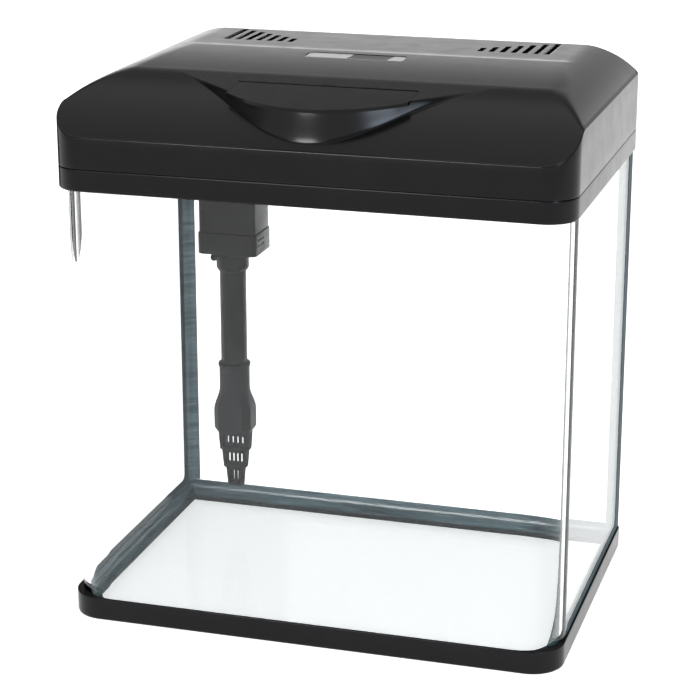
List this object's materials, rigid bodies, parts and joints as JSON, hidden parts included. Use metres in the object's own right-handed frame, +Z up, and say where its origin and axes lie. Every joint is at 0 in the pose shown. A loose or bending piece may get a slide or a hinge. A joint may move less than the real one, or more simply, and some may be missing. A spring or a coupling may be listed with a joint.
{
  "type": "aquarium with hood",
  "caption": "Rectangular glass tank with a bent front pane, a plastic base and a lift-off hood with a hinged lid, feeding flap, light and filter pump.",
  "frame": {"origin": "centre of the base's underside", "axes": "+Z up, the bent front pane faces -Y, +X is the viewer's right"},
  "size_m": [0.3816, 0.2606, 0.4132],
  "materials": {
    "black_plastic": "satin moulded",
    "grey_plastic": "fine texture",
    "clear_glass": "polished",
    "sealant": "smooth",
    "bright_steel": "turned",
    "ceramic_white": "smooth",
    "magnet_black": "coated",
    "stator_iron": "laminated",
    "blue_sponge": "open foam",
    "board_white": "solder mask",
    "lens_clear": "clear",
    "soft_rubber": "matt",
    "badge_silver": "metallised"
  },
  "bodies": {
    "tank": {"base_frame": "black_plastic", "floor_glass": "clear_glass", "bent_glass": "clear_glass", "rear_glass": "clear_glass", "floor_sealant": "sealant", "corner_sealant_left": "sealant", "corner_sealant_right": "sealant"},
    "hood": {"hood_rim": "black_plastic", "hinge_pin_left": "bright_steel", "hinge_pin_right": "bright_steel", "filter_tray": "grey_plastic", "tray_cover": "grey_plastic", "filter_sponge": "blue_sponge", "pump_upper_housing": "black_plastic", "pump_lower_housing": "black_plastic", "pump_cap": "black_plastic", "pump_stator": "stator_iron", "rotor_shaft": "ceramic_white", "lower_bushing": "soft_rubber", "upper_bushing": "soft_rubber", "outlet_nozzle": "grey_plastic", "tube_collar": "black_plastic", "intake_tube": "black_plastic"},
    "lid": {"lid_shell": "black_plastic", "badge_plate": "badge_silver", "light_housing": "black_plastic", "light_board": "board_white", "light_lens": "lens_clear", "light_screw_left": "bright_steel", "light_screw_right": "bright_steel"},
    "flap": {"feeding_flap": "black_plastic"},
    "rotor": {"rotor_magnet": "magnet_black", "impeller": "grey_plastic"},
    "regulator": {"flow_ring": "black_plastic"},
    "strainer": {"strainer_adapter": "grey_plastic", "strainer_cage": "grey_plastic"}
  },
  "joints": [
    {"name": "hood_lift", "type": "slide", "parent": "tank", "child": "hood", "axis": [0, 0, 1], "range_m": [0, 0.36]},
    {"name": "lid_hinge", "type": "hinge", "parent": "hood", "child": "lid", "pos_m": [0, 0.12772, 0.35235], "axis": [-1, 0, 0], "range_deg": [0, 95]},
    {"name": "flap_hinge", "type": "hinge", "parent": "lid", "child": "flap", "pos_m": [0, -0.0702, 0.40526], "axis": [-1, 0, 0], "range_deg": [0, 95]},
    {"name": "rotor_spin", "type": "hinge", "parent": "hood", "child": "rotor", "pos_m": [-0.127, 0.081, 0.27], "axis": [0, 0, 1], "continuous": true},
    {"name": "regulator_turn", "type": "hinge", "parent": "hood", "child": "regulator", "pos_m": [-0.127, 0.081, 0.238], "axis": [0, 0, 1], "range_deg": [0, 50]},
    {"name": "strainer_slide", "type": "slide", "parent": "hood", "child": "strainer", "axis": [0, 0, -1], "range_m": [0, 0.015]}
  ]
}
